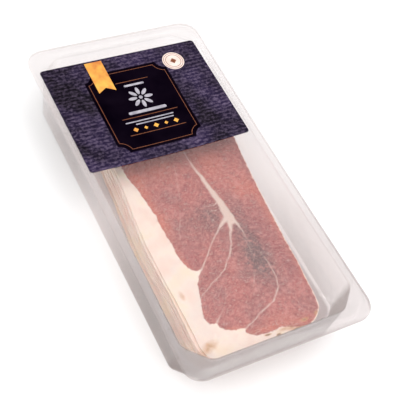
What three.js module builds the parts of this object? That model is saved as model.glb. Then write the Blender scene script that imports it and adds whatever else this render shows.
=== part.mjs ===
// A sealed retail pack of sliced dry-cured ham: a clear thermoformed tray, the stack of thin slices
// that lies in it, the lidding film sealed over its flange, and a printed label on that film.
//
// Millimetres, +Z up. The origin is the centre of the tray's flat underside. +X runs across the pack
// and +Y along it, towards the end that carries the label. Seen from above, -Y is the near end.
import * as THREE from 'three';

// ---- driving dimensions -------------------------------------------------------------------------

const PACK_WIDTH = 140; // over the flange
const PACK_LENGTH = 280;
const PACK_HEIGHT = 38; // underside to the top of the label
const FLANGE_CORNER = 8; // chamfer of the flange's outer corners, before they are rounded
const EDGE_BOW = 1.4; // how far the long edges are drawn in at mid-length by the tight film

const WALL = 0.7; // tray sheet
const FLANGE_THICKNESS = 0.8;
const LIP_DROP = 1.4; // rolled edge round the flange
const LIP_WIDTH = 0.9;
const FOOT_RADIUS = 1.8; // between the wall and the underside

const MOUTH_WIDTH = 128; // inside, at the flange
const MOUTH_LENGTH = 259;
const MOUTH_CUT = { x: 15, near: 21, far: 21 }; // how far each corner is chamfered
const FLOOR_WIDTH = 125; // inside, at the floor
const FLOOR_LENGTH = 254;
const FLOOR_CUT = { x: 15.5, near: 27, far: 23 };

const FILM_THICKNESS = 0.3;
const FILM_SAG = { depth: 1.8, width: 116, length: 240 }; // the dished middle of the film
const LABEL = { left: -65, right: 60, near: 23, far: 119, corner: 2 };
const LABEL_THICKNESS = 0.25;
const SHEET_GAP = 0.12; // between flange, film and label

const SLICE_COUNT = 18;
const SLICE_THICKNESS = 0.9;
const SLICE_PITCH = 1.2; // leaves 0.3 mm of air between two slices
const SLICE_NEAR = -126;
const SLICE_FAR = 113;
const SLICE_CORNER = { left: 9, right: 20, y: 16 }; // the fat's corner is squarer than the lean's
// Where the two long edges run, at even steps from the near end of the slice to its far end.
const SLICE_LEFT = [-46.5, -46, -46, -46.5, -44.5, -42, -40, -38, -35];
const SLICE_RIGHT = [42, 44.5, 47, 49, 51, 54.5, 58, 58.5, 57];
const SLICE_SHIFT = 1.6; // largest slip of a slice across the stack
const SLICE_TURN = 0.011; // largest turn of a slice, in radians
const STACK_LEAN = { x: 1.8, y: 3 }; // the top slice lies this much further right and nearer
const EDGE_DROOP = 1.5; // how far the upper slices hang at the edges of the stack
const WAVE_HEIGHT = 0.45;
const WAVE_ACROSS = 76;
const WAVE_ALONG = 118;

const ROUNDING_STEPS = 3; // facets of each rounded corner of the tray
const SIDE_STEPS = 6; // facets along each long side of the tray
const CORNER_ROWS = 3;
const STRAIGHT_ROWS = 8;

// Heights that follow from the sizes above.
const LABEL_TOP = PACK_HEIGHT;
const FILM_TOP = LABEL_TOP - LABEL_THICKNESS - SHEET_GAP;
const FLANGE_TOP = FILM_TOP - FILM_THICKNESS - SHEET_GAP;
const FLANGE_UNDERSIDE = FLANGE_TOP - FLANGE_THICKNESS;

// ---- helpers ------------------------------------------------------------------------------------

/** Small repeatable random numbers between -1 and 1. */
function scatter(seed) {
  let state = seed;
  return () => {
    state = (state * 1103515245 + 12345) % 2147483648;
    return (state / 2147483648) * 2 - 1;
  };
}

/** Geometry from a flat list of coordinates and a list of triangles. */
function geometryFrom(positions, triangles) {
  const geometry = new THREE.BufferGeometry();
  geometry.setAttribute('position', new THREE.Float32BufferAttribute(positions, 3));
  geometry.setIndex(triangles);
  geometry.computeVertexNormals();
  return geometry;
}

/** Named mesh with the finish of its material. */
function piece(name, geometry, material) {
  const mesh = new THREE.Mesh(geometry, material);
  mesh.name = name;
  return mesh;
}

// ---- tray ---------------------------------------------------------------------------------------

/**
 * One level of the tray, counter-clockwise seen from above: a rectangle with a chamfer across each
 * corner, all eight vertices rounded, and its long sides drawn in towards mid-length.
 */
function trayRing({ width, length, cut, soften, z, grow = 0 }) {
  const halfWidth = width / 2 + grow;
  const halfLength = length / 2 + grow;
  const vertices = [
    [halfWidth, -halfLength + cut.near],
    [halfWidth, halfLength - cut.far],
    [halfWidth - cut.x, halfLength],
    [-halfWidth + cut.x, halfLength],
    [-halfWidth, halfLength - cut.far],
    [-halfWidth, -halfLength + cut.near],
    [-halfWidth + cut.x, -halfLength],
    [halfWidth - cut.x, -halfLength],
  ].map(([x, y]) => new THREE.Vector2(x, y));
  const bow = EDGE_BOW * (z / PACK_HEIGHT);
  const ring = [];
  vertices.forEach((vertex, i) => {
    const before = vertices[(i + 7) % 8];
    const after = vertices[(i + 1) % 8];
    const start = vertex.clone().add(before.clone().sub(vertex).setLength(soften));
    const end = vertex.clone().add(after.clone().sub(vertex).setLength(soften));
    const corner = new THREE.QuadraticBezierCurve(start, vertex, end);
    ring.push(...corner.getPoints(ROUNDING_STEPS));
    if (i === 0 || i === 4) {
      const next = after.clone().add(vertex.clone().sub(after).setLength(soften));
      for (let k = 1; k < SIDE_STEPS; k += 1) ring.push(end.clone().lerp(next, k / SIDE_STEPS));
    }
  });
  return ring.map(({ x, y }) => {
    const drawnIn = bow * (1 - (y / halfLength) ** 2) * (x / halfWidth);
    return new THREE.Vector3(x - drawnIn, y, z);
  });
}

/** Closed solid through rings of equal count, from the first ring's centre to the last ring's. */
function loftSolid(rings) {
  const count = rings[0].length;
  const positions = [0, 0, rings[0][0].z];
  for (const ring of rings) for (const point of ring) positions.push(point.x, point.y, point.z);
  const lastPole = positions.length / 3;
  positions.push(0, 0, rings.at(-1)[0].z);
  const triangles = [];
  for (let i = 0; i < count; i += 1) {
    const j = (i + 1) % count;
    triangles.push(0, 1 + j, 1 + i);
    for (let r = 0; r + 1 < rings.length; r += 1) {
      const low = 1 + r * count;
      const high = low + count;
      triangles.push(low + i, low + j, high + j);
      triangles.push(low + i, high + j, high + i);
    }
    const last = 1 + (rings.length - 1) * count;
    triangles.push(last + i, last + j, lastPole);
  }
  return geometryFrom(positions, triangles);
}

/** Thin open tray: up its outside, over the flange with its rolled lip, and down its inside. */
function buildTray() {
  const flangeCut = { x: FLANGE_CORNER, near: FLANGE_CORNER, far: FLANGE_CORNER };
  const flange = { width: PACK_WIDTH, length: PACK_LENGTH, cut: flangeCut, soften: 5.5 };
  const mouth = { width: MOUTH_WIDTH, length: MOUTH_LENGTH, cut: MOUTH_CUT, soften: 4 };
  const floor = { width: FLOOR_WIDTH, length: FLOOR_LENGTH, cut: FLOOR_CUT, soften: 2.5 };
  const lipFoot = FLANGE_UNDERSIDE - LIP_DROP;
  return loftSolid([
    trayRing({ ...floor, z: 0, grow: WALL - FOOT_RADIUS }),
    trayRing({ ...floor, z: FOOT_RADIUS * 0.3, grow: WALL - FOOT_RADIUS * 0.3 }),
    trayRing({ ...floor, z: FOOT_RADIUS, grow: WALL }),
    trayRing({ ...mouth, z: FLANGE_UNDERSIDE, grow: WALL }),
    trayRing({ ...flange, z: FLANGE_UNDERSIDE, grow: -LIP_WIDTH - LIP_DROP * 0.4 }),
    trayRing({ ...flange, z: lipFoot, grow: -LIP_WIDTH }),
    trayRing({ ...flange, z: lipFoot }),
    trayRing({ ...flange, z: FLANGE_TOP - LIP_WIDTH }),
    trayRing({ ...flange, z: FLANGE_TOP, grow: -LIP_WIDTH }),
    trayRing({ ...mouth, z: FLANGE_TOP }),
    trayRing({ ...floor, z: FOOT_RADIUS + WALL }),
    trayRing({ ...floor, z: WALL + FOOT_RADIUS * 0.3, grow: -FOOT_RADIUS * 0.3 }),
    trayRing({ ...floor, z: WALL, grow: -FOOT_RADIUS }),
  ]);
}

// ---- sheets: film, label and slices ---------------------------------------------------------------

/**
 * Rows of a sheet from its near end to its far end, each with its y and its two edges. The rows
 * crowd at the ends, where the edges close in along an elliptical corner.
 */
function sheetRows({ near, far, left, right, corner, straightRows = STRAIGHT_ROWS }) {
  const rows = [];
  const addRow = (y, closing) => rows.push({
    y,
    left: left(y) + corner.left * closing,
    right: right(y) - corner.right * closing,
  });
  for (let i = 0; i < CORNER_ROWS; i += 1) {
    const angle = ((i / CORNER_ROWS) * Math.PI) / 2;
    addRow(near + corner.y * (1 - Math.cos(angle)), 1 - Math.sin(angle));
  }
  for (let i = 0; i <= straightRows; i += 1) {
    const share = i / straightRows;
    addRow(THREE.MathUtils.lerp(near + corner.y, far - corner.y, share), 0);
  }
  for (let i = CORNER_ROWS - 1; i >= 0; i -= 1) {
    const angle = ((i / CORNER_ROWS) * Math.PI) / 2;
    addRow(far - corner.y * (1 - Math.cos(angle)), 1 - Math.sin(angle));
  }
  return rows;
}

/** Plan points of a sheet, row by row, turned about the origin and shifted. */
function sheetPlan(rows, columns, turn = 0, shift = new THREE.Vector2()) {
  const centre = new THREE.Vector2();
  return rows.map((row) => Array.from({ length: columns + 1 }, (_, c) => {
    const x = THREE.MathUtils.lerp(row.left, row.right, c / columns);
    return new THREE.Vector2(x, row.y).rotateAround(centre, turn).add(shift);
  }));
}

/** Thin closed solid over a plan: both faces split alike, joined round the rim. */
function sheetSolid(plan, thickness, topAt) {
  const rowCount = plan.length;
  const across = plan[0].length;
  const positions = [];
  for (const drop of [0, thickness]) {
    for (const row of plan) for (const { x, y } of row) positions.push(x, y, topAt(x, y) - drop);
  }
  const underside = rowCount * across;
  const triangles = [];
  for (let r = 0; r + 1 < rowCount; r += 1) {
    for (let c = 0; c + 1 < across; c += 1) {
      const a = r * across + c;
      const b = a + 1;
      const d = a + across;
      const e = d + 1;
      triangles.push(a, b, e, a, e, d);
      triangles.push(underside + a, underside + e, underside + b);
      triangles.push(underside + a, underside + d, underside + e);
    }
  }
  const rim = [];
  for (let c = 0; c < across; c += 1) rim.push(c);
  for (let r = 1; r < rowCount; r += 1) rim.push(r * across + across - 1);
  for (let c = across - 2; c >= 0; c -= 1) rim.push((rowCount - 1) * across + c);
  for (let r = rowCount - 2; r >= 1; r -= 1) rim.push(r * across);
  rim.forEach((a, i) => {
    const b = rim[(i + 1) % rim.length];
    triangles.push(a, underside + a, underside + b, a, underside + b, b);
  });
  return geometryFrom(positions, triangles);
}

/** How far the film hangs below the flange at a place in plan: nothing close to the flange. */
function filmSag(x, y) {
  const across = Math.max(0, 1 - (x / (FILM_SAG.width / 2)) ** 2);
  const along = Math.max(0, 1 - (y / (FILM_SAG.length / 2)) ** 2);
  return FILM_SAG.depth * across * along;
}

/** Lidding film, a little smaller than the flange and drawn in with its long edges. */
function buildFilm() {
  const margin = 1.2;
  const halfWidth = PACK_WIDTH / 2 - margin;
  const halfLength = PACK_LENGTH / 2 - margin;
  const drawnIn = (y) => EDGE_BOW * (1 - (y / halfLength) ** 2);
  const corner = FLANGE_CORNER + 2;
  const rows = sheetRows({
    near: -halfLength,
    far: halfLength,
    left: (y) => -halfWidth + drawnIn(y),
    right: (y) => halfWidth - drawnIn(y),
    corner: { left: corner, right: corner, y: corner },
    straightRows: 10,
  });
  return sheetSolid(sheetPlan(rows, 10), FILM_THICKNESS, (x, y) => FILM_TOP - filmSag(x, y));
}

/** Label, following the film that it is stuck to. */
function buildLabel() {
  const { left, right, near, far, corner } = LABEL;
  const rows = sheetRows({
    near,
    far,
    left: () => left,
    right: () => right,
    corner: { left: corner, right: corner, y: corner },
    straightRows: 6,
  });
  return sheetSolid(sheetPlan(rows, 10), LABEL_THICKNESS, (x, y) => LABEL_TOP - filmSag(x, y));
}

/** Smooth edge of a slice through its stations, as a function of y. */
function sliceEdge(stations) {
  const points = stations.map((x, i) => new THREE.Vector2(i / (stations.length - 1), x));
  const curve = new THREE.SplineCurve(points);
  return (y) => curve.getPoint((y - SLICE_NEAR) / (SLICE_FAR - SLICE_NEAR)).y;
}

/** Top of a slice at a place in plan: flat at the bottom of the stack, wavier towards its top. */
function sliceTop(index, x, y) {
  const height = index / (SLICE_COUNT - 1);
  const ripple = Math.sin((2 * Math.PI * x) / WAVE_ACROSS + 0.6)
    + Math.sin((2 * Math.PI * y) / WAVE_ALONG + 1.1);
  const droop = EDGE_DROOP * Math.min(1, Math.abs(x - 3) / 50) ** 4;
  const level = WALL + SHEET_GAP + SLICE_THICKNESS + index * SLICE_PITCH;
  return level + height * (WAVE_HEIGHT * ripple - droop);
}

/** One slice of the stack, with its own small slip and turn. */
function buildSlice(index, random) {
  const rows = sheetRows({
    near: SLICE_NEAR,
    far: SLICE_FAR,
    left: sliceEdge(SLICE_LEFT),
    right: sliceEdge(SLICE_RIGHT),
    corner: SLICE_CORNER,
  });
  const depth = 1 - index / (SLICE_COUNT - 1);
  const topmost = index === SLICE_COUNT - 1;
  const slip = topmost ? 0 : SLICE_SHIFT;
  const turn = topmost ? 0 : SLICE_TURN * random();
  const shift = new THREE.Vector2(
    slip * random() * 0.6 - STACK_LEAN.x * depth,
    slip * 0.5 * (random() + 1) + STACK_LEAN.y * depth,
  );
  const plan = sheetPlan(rows, 6, turn, shift);
  return sheetSolid(plan, SLICE_THICKNESS, (x, y) => sliceTop(index, x, y));
}

// ---- the pack -----------------------------------------------------------------------------------

const clearPlastic = new THREE.MeshStandardMaterial({
  color: 0xe6e7e8,
  roughness: 0.12,
  metalness: 0,
  transparent: true,
  opacity: 0.35,
});
const lidPlastic = new THREE.MeshStandardMaterial({
  color: 0xf2f2f2,
  roughness: 0.08,
  metalness: 0,
  transparent: true,
  opacity: 0.15,
});
const labelPaper = new THREE.MeshStandardMaterial({ color: 0x2a2745, roughness: 0.55, metalness: 0 });
const curedHam = new THREE.MeshStandardMaterial({ color: 0xc68783, roughness: 0.45, metalness: 0 });

const pack = new THREE.Group();
pack.add(piece('tray', buildTray(), clearPlastic));
const random = scatter(20);
for (let index = 0; index < SLICE_COUNT; index += 1) {
  const number = String(index + 1).padStart(2, '0');
  pack.add(piece(`slice_${number}`, buildSlice(index, random), curedHam));
}
pack.add(piece('lid_film', buildFilm(), lidPlastic));
pack.add(piece('label', buildLabel(), labelPaper));

export default pack;
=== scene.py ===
"""Sealed retail pack of sliced dry-cured ham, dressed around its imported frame.

A clear thermoformed tray holds a stack of thin slices. A lidding film is sealed over its flange,
and a dark printed label is stuck to the film. Lengths are millimetres until a mesh is made, and
the meshes are metres in the frame's own axes: +X across the pack, +Y along it towards the end
with the label, +Z up out of the tray.
"""

import logging
import math
from dataclasses import dataclass
from enum import Enum
from typing import Callable, Sequence

import bmesh
import bpy
import numpy as np
from mathutils import Euler, Matrix, Vector


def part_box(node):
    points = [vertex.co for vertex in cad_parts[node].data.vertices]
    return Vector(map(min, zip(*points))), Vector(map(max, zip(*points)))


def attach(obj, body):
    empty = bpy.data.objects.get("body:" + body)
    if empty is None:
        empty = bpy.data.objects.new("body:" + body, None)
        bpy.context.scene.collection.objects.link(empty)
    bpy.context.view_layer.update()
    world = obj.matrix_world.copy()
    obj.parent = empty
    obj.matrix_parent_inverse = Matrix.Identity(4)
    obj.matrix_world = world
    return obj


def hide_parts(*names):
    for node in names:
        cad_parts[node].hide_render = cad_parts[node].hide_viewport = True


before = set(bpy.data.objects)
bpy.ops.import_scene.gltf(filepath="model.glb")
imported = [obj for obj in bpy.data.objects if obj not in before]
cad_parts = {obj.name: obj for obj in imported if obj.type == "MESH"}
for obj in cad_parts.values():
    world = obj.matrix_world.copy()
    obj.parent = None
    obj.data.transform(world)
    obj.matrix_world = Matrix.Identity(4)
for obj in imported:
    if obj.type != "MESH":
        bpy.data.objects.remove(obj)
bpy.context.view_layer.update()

LOG = logging.getLogger("ham_pack")
MM = 0.001
BODY = "root"

Place = tuple[float, float]  # in plan
Span = tuple[float, float]
Station = tuple[float, float, float]
Rule = Callable[[np.ndarray], np.ndarray]


# ---- modelling helpers ---------------------------------------------------------------------------


def focus(piece: bpy.types.Object) -> None:
    """Makes a piece the only selected and the active object."""
    bpy.ops.object.select_all(action="DESELECT")
    piece.select_set(True)
    bpy.context.view_layer.objects.active = piece


def named(name: str) -> bpy.types.Object:
    """Names the primitive that was just added, and returns it."""
    piece = bpy.context.active_object
    piece.name = name
    piece.data.name = name
    focus(piece)
    return piece


def edit(piece: bpy.types.Object, mode: str = "FACE") -> None:
    """Opens a piece in edit mode with all of it selected.

    Args:
        piece: The mesh object to work on.
        mode: What the operators select: VERT, EDGE or FACE.
    """
    focus(piece)
    bpy.ops.object.mode_set(mode="EDIT")
    bpy.ops.mesh.select_mode(type=mode)
    bpy.ops.mesh.select_all(action="SELECT")


def done() -> None:
    """Leaves edit mode."""
    bpy.ops.object.mode_set(mode="OBJECT")


def pick(piece: bpy.types.Object, kind: str, test: Callable[..., bool]) -> None:
    """Selects, in edit mode, the elements that pass a test and no others.

    Args:
        piece: The mesh object in edit mode.
        kind: Which elements to test: verts, edges or faces.
        test: Says of one element whether it is wanted.
    """
    bpy.ops.mesh.select_mode(type={"verts": "VERT", "edges": "EDGE", "faces": "FACE"}[kind])
    bpy.ops.mesh.select_all(action="DESELECT")
    work = bmesh.from_edit_mesh(piece.data)
    for element in [element for element in getattr(work, kind) if test(element)]:
        element.select_set(True)
    work.select_flush_mode()
    bmesh.update_edit_mesh(piece.data)


def finish_with(piece: bpy.types.Object, kind: str, **settings: object) -> None:
    """Adds a modifier to a piece and applies it at once.

    Args:
        piece: The object to finish.
        kind: The modifier's type.
        **settings: The modifier's own settings.
    """
    focus(piece)
    modifier = piece.modifiers.new(kind.title(), kind)
    for key, value in settings.items():
        setattr(modifier, key, value)
    bpy.ops.object.modifier_apply(modifier=modifier.name)


def points_of(piece: bpy.types.Object) -> np.ndarray:
    """The piece's vertices in millimetres, one row each."""
    flat = np.empty(len(piece.data.vertices) * 3)
    piece.data.vertices.foreach_get("co", flat)
    return flat.reshape(-1, 3) / MM


def reshape(piece: bpy.types.Object, rule: Rule) -> None:
    """Moves every vertex of a piece by a rule on its place in millimetres."""
    moved = rule(points_of(piece)) * MM
    piece.data.vertices.foreach_set("co", moved.ravel())
    piece.data.update()


def settle(piece: bpy.types.Object) -> None:
    """Puts the piece's place into its mesh, so that its object sits at the origin, unturned."""
    focus(piece)
    bpy.ops.object.transform_apply(location=True, rotation=True, scale=True)


def smooth(piece: bpy.types.Object, angle: float = 40.0) -> None:
    """Shades a piece smooth across edges flatter than an angle in degrees."""
    focus(piece)
    bpy.ops.object.shade_smooth_by_angle(angle=math.radians(angle))


def joined(pieces: Sequence[bpy.types.Object], name: str) -> bpy.types.Object:
    """Joins several objects into the first and names the result."""
    focus(pieces[0])
    for piece in pieces:
        piece.select_set(True)
    bpy.ops.object.join()
    return named(name)


def hand_over(piece: bpy.types.Object, material: bpy.types.Material, slot: str, *nodes: str) -> None:
    """Dresses a finished piece and ties it to the pack.

    Args:
        piece: The finished object.
        material: Its one material.
        slot: The record's material slot that it stands for; not used.
        *nodes: The nodes of the frame that the piece replaces.
    """
    piece.data.materials.clear()
    piece.data.materials.append(material)
    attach(piece, BODY)
    if nodes:
        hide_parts(*nodes)
    LOG.info("%s: %d faces", piece.name, len(piece.data.polygons))


# ---- curves and sheets ---------------------------------------------------------------------------


def spline_matrix(parameters: np.ndarray, stations: int) -> np.ndarray:
    """Weights of evenly spaced stations on a smooth curve that passes through all of them.

    Args:
        parameters: Where on the curve, from 0 at the first station to stations - 1 at the last.
        stations: How many stations the curve has.

    Returns:
        One row of weights for each parameter.
    """
    first = np.clip(np.floor(parameters).astype(int), 0, stations - 2)
    f = parameters - first
    rows = np.arange(len(parameters))
    weights = np.zeros((len(parameters), stations))
    steps = (
        (-1, -0.5 * f + f**2 - 0.5 * f**3),
        (0, 1 - 2.5 * f**2 + 1.5 * f**3),
        (1, 0.5 * f + 2 * f**2 - 1.5 * f**3),
        (2, -0.5 * f**2 + 0.5 * f**3),
    )
    for step, weight in steps:
        np.add.at(weights, (rows, np.clip(first + step, 0, stations - 1)), weight)
    return weights


def smooth_path(stations: Sequence[Sequence[float]], steps: int = 5) -> np.ndarray:
    """A smooth open curve through stations, with a few points for each span."""
    points = np.array(stations, float)
    parameters = np.linspace(0, len(points) - 1, (len(points) - 1) * steps + 1)
    return spline_matrix(parameters, len(points)) @ points


def distance_to_path(plan: np.ndarray, path: np.ndarray) -> np.ndarray:
    """Distance in plan from each point to a path, less the path's own half width if it has one.

    Args:
        plan: Points to measure, x and y.
        path: Points of the path: x, y and, where it has a width, the half width there.

    Returns:
        One distance for each point, negative inside the path's width.
    """
    nearest = np.full(len(plan), 1e3)
    for start, end in zip(path[:-1], path[1:]):
        along = end[:2] - start[:2]
        share = np.clip((plan - start[:2]) @ along / max(along @ along, 1e-9), 0, 1)
        gap = np.linalg.norm(plan - start[:2] - share[:, None] * along, axis=1)
        if path.shape[1] > 2:
            gap = gap - start[2] - share * (end[2] - start[2])
        nearest = np.minimum(nearest, gap)
    return nearest


def depth_inside(plan: np.ndarray, outline: np.ndarray) -> np.ndarray:
    """How far each point lies inside a closed outline, negative outside it."""
    closed = np.vstack([outline, outline[:1]])
    inside = np.zeros(len(plan), bool)
    for (x0, y0), (x1, y1) in zip(closed[:-1], closed[1:]):
        if y0 == y1:
            continue
        crosses = (plan[:, 1] > y0) != (plan[:, 1] > y1)
        at = x0 + (plan[:, 1] - y0) * (x1 - x0) / (y1 - y0)
        inside ^= crosses & (plan[:, 0] < at)
    return np.where(inside, 1, -1) * distance_to_path(plan, closed)


def wander(along: np.ndarray, seed: int, lengths: Sequence[float], heights: Sequence[float]) -> np.ndarray:
    """A smooth uneven line: waves of a few lengths, each begun at its own seeded phase."""
    phases = np.random.default_rng(seed).uniform(0, 2 * math.pi, len(lengths))
    waves = [h * np.sin(2 * math.pi * along / l + p) for l, h, p in zip(lengths, heights, phases)]
    return np.sum(waves, axis=0)


@dataclass
class PackedSheet:
    """A thin sheet of the frame, known by the plan points and top heights of its own rows.

    Attributes:
        rows: Points in millimetres, rows from the near end to the far end, columns from -X to +X.
    """

    rows: np.ndarray

    @classmethod
    def read(cls, node: str, columns: int) -> "PackedSheet":
        """Reads a sheet from the frame.

        Args:
            node: The sheet's node.
            columns: How many points each of its rows has.

        Returns:
            The sheet.
        """
        points = points_of(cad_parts[node])
        keys = np.round(points[:, :2] * 100).astype(int)
        plan, which = np.unique(keys, axis=0, return_inverse=True)
        top = np.full(len(plan), -1e3)
        np.maximum.at(top, which.ravel(), points[:, 2])
        sheet = np.column_stack([plan / 100, top])
        rows = sheet[np.argsort(sheet[:, 1])].reshape(-1, columns, 3)
        return cls(np.stack([row[np.argsort(row[:, 0])] for row in rows]))

    def at(self, across: np.ndarray, along: np.ndarray) -> np.ndarray:
        """Points of the smooth sheet.

        Args:
            across: Shares of the width, from 0 at -X to 1 at +X.
            along: Row numbers, from 0 at the near end.

        Returns:
            One point for each pair.
        """
        columns = spline_matrix(across * (self.rows.shape[1] - 1), self.rows.shape[1])
        rows = spline_matrix(along, self.rows.shape[0])
        return np.einsum("pr,pc,rck->pk", rows, columns, self.rows)

    def even_rows(self, count: int) -> np.ndarray:
        """Row numbers that stand evenly along the two long edges."""
        fine = np.linspace(0, len(self.rows) - 1, 600)
        length = np.zeros(600)
        for side in (0, -1):
            edge = spline_matrix(fine, len(self.rows)) @ self.rows[:, side, :2]
            length[1:] += np.cumsum(np.linalg.norm(np.diff(edge, axis=0), axis=1))
        return np.interp(np.linspace(0, length[-1], count), length, fine)

    def height(self, x: np.ndarray, y: np.ndarray) -> np.ndarray:
        """Top of the sheet at places in plan."""
        middle = self.rows[:, :, 1].mean(axis=1)
        along = np.interp(y, middle, np.arange(len(middle)))
        left = np.interp(y, middle, self.rows[:, 0, 0])
        right = np.interp(y, middle, self.rows[:, -1, 0])
        return self.at(np.clip((x - left) / (right - left), 0, 1), along)[:, 2]

    def sheet_piece(self, name: str, cell: float) -> tuple[bpy.types.Object, np.ndarray]:
        """A grid primitive laid over the whole sheet.

        Args:
            name: Name of the new piece.
            cell: Side of a grid cell, in millimetres.

        Returns:
            The piece, and for each vertex its share across and share along.
        """
        width = np.ptp(self.rows[:, :, 0])
        length = np.ptp(self.rows[:, :, 1]) + width * 0.2
        columns, rows = round(width / cell), round(length / cell)
        bpy.ops.mesh.primitive_grid_add(x_subdivisions=columns, y_subdivisions=rows, size=1)
        piece = named(name)
        shares = points_of(piece)[:, :2] * MM + 0.5
        even = self.even_rows(rows + 1)
        along = even[np.round(shares[:, 1] * rows).astype(int)]
        reshape(piece, lambda points: self.at(shares[:, 0], along))
        return piece, shares


# ---- materials -----------------------------------------------------------------------------------

MIX_A, MIX_B, MIX_RESULT = 6, 7, 2  # the colour sockets of a Mix node


def linear(code: str) -> tuple[float, float, float, float]:
    """Turns an sRGB hex colour into the linear colour that shaders use."""
    channels = [int(code[i : i + 2], 16) / 255 for i in (1, 3, 5)]
    return (*[c / 12.92 if c <= 0.04045 else ((c + 0.055) / 1.055) ** 2.4 for c in channels], 1.0)


class Shading:
    """The node tree of one material while it is made.

    Attributes:
        material: The material.
        place: Object coordinates in millimetres.
    """

    def __init__(self, name: str) -> None:
        """Starts an empty material with its coordinates ready."""
        self.material = bpy.data.materials.new(name)
        self.material.use_nodes = True
        self.material.node_tree.nodes.clear()
        where = self.add("ShaderNodeTexCoord").outputs["Object"]
        self.place = self.add("ShaderNodeMapping", {"Vector": where, "Scale": (1 / MM,) * 3}).outputs[0]

    def add(self, kind: str, inputs: dict | None = None, **settings: object) -> bpy.types.Node:
        """Adds one node with its settings and links.

        Args:
            kind: The node's type.
            inputs: For each socket, by name or number, the value it holds or the output it takes.
            **settings: The node's own settings.

        Returns:
            The new node.
        """
        node = self.material.node_tree.nodes.new(kind)
        for key, value in settings.items():
            setattr(node, key, value)
        for key, value in (inputs or {}).items():
            if isinstance(value, bpy.types.NodeSocket):
                self.material.node_tree.links.new(value, node.inputs[key])
            else:
                node.inputs[key].default_value = value
        return node

    def surface(self, shader: bpy.types.Node) -> bpy.types.Material:
        """Makes a shader the material's surface and returns the material."""
        self.add("ShaderNodeOutputMaterial", {"Surface": shader.outputs[0]})
        return self.material

    def lay_over(self, colour: object, layers: Sequence[tuple]) -> bpy.types.NodeSocket:
        """Lays colours over a colour, each where its own pattern shows.

        Args:
            colour: The colour below, plain or from a node.
            layers: For each colour its pattern, the pattern's values at which it begins to show and
                shows in full, the most that it covers, and its hex code.

        Returns:
            The colour on top.
        """
        for pattern, begins, full, most, code in layers:
            strength = self.add(
                "ShaderNodeMapRange", {0: pattern, 1: begins, 2: full, 3: 0.0, 4: most}
            ).outputs[0]
            colour = self.add(
                "ShaderNodeMix", {0: strength, MIX_A: colour, MIX_B: linear(code)}, data_type="RGBA"
            ).outputs[MIX_RESULT]
        return colour


@dataclass(frozen=True)
class StudioPaper:
    """Plain white paper roll: matt, with no grain that shows."""

    white: str = "#fafafa"
    fleck: str = "#fcfcfc"
    fleck_mm: float = 60.0

    def make(self) -> bpy.types.Material:
        """Makes the material."""
        s = Shading("studio_paper")
        pulp = s.add("ShaderNodeTexNoise", {"Vector": s.place, "Scale": 1 / self.fleck_mm, "Detail": 2.0})
        tone = s.lay_over(linear(self.white), ((pulp.outputs[0], 0.0, 1.0, 1.0, self.fleck),))
        return s.surface(s.add("ShaderNodeBsdfPrincipled", {"Base Color": tone, "Roughness": 0.9}))


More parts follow.
